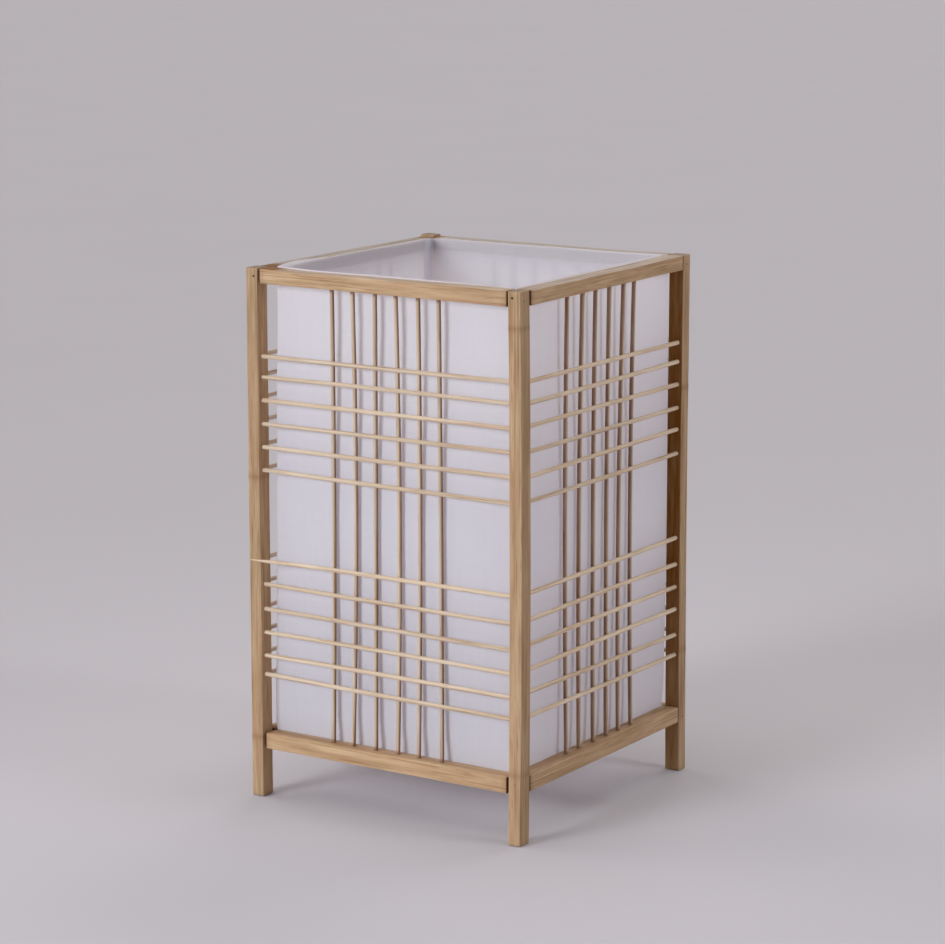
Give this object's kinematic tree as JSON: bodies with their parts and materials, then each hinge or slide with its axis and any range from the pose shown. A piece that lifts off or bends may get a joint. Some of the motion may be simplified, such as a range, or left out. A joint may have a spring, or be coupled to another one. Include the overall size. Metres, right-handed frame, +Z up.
{
  "type": "shoji table lamp",
  "caption": "Square open-topped table lamp: bamboo posts and rails, a lattice of thin round sticks over a white cloth lining, and a screw-in bulb on a bar across the bottom.",
  "frame": {"origin": "on the floor, under the middle of the lamp", "axes": "+Z up the lamp; -Y is the front, the wider of the two sides that the picture shows; +X is to the right of it"},
  "size_m": [0.208, 0.208, 0.3508],
  "materials": {
    "bamboo": "bare split bamboo, lightly waxed",
    "stick_bamboo": "bare round bamboo stick",
    "cloth": "thin white woven cloth, translucent",
    "steel": "zinc plated",
    "brass": "plain",
    "ceramic": "glazed white",
    "white_plastic": "moulded, satin",
    "black_plastic": "moulded, satin",
    "opal_glass": "opal white, smooth"
  },
  "bodies": {
    "lamp": {"post_front_left": "bamboo", "post_front_right": "bamboo", "post_back_right": "bamboo", "post_back_left": "bamboo", "top_rail_front": "bamboo", "top_rail_right": "bamboo", "top_rail_back": "bamboo", "top_rail_left": "bamboo", "bottom_rail_front": "bamboo", "bottom_rail_right": "bamboo", "bottom_rail_back": "bamboo", "bottom_rail_left": "bamboo", "lattice_front": "stick_bamboo", "lattice_right": "stick_bamboo", "lattice_back": "stick_bamboo", "lattice_left": "stick_bamboo", "nail_top_front_left": "steel", "nail_top_front_right": "steel", "nail_top_right_front": "steel", "nail_top_right_back": "steel", "nail_top_back_right": "steel", "nail_top_back_left": "steel", "nail_top_left_back": "steel", "nail_top_left_front": "steel", "nail_bottom_front_left": "steel", "nail_bottom_front_right": "steel", "nail_bottom_right_front": "steel", "nail_bottom_right_back": "steel", "nail_bottom_back_right": "steel", "nail_bottom_back_left": "steel", "nail_bottom_left_back": "steel", "nail_bottom_left_front": "steel", "bar_nail_left": "steel", "bar_nail_right": "steel", "cloth_lining": "cloth", "holder_bar": "bamboo", "threaded_tube": "steel", "lock_washer": "steel", "lock_nut": "steel", "cord_bush": "black_plastic", "holder_base": "white_plastic", "holder_core": "ceramic", "centre_contact": "brass", "screw_shell": "brass", "holder_shell": "white_plastic"},
    "bulb": {"bulb_tip": "steel", "bulb_insulator": "black_plastic", "bulb_cap": "steel", "bulb_collar": "white_plastic", "light_board": "ceramic", "bulb_globe": "opal_glass"}
  },
  "joints": [
    {"name": "bulb_turn", "type": "hinge", "parent": "lamp", "child": "bulb", "pos_m": [0, 0, 0.0656], "axis": [0, 0, 1], "range_deg": [0, 1080]}
  ]
}
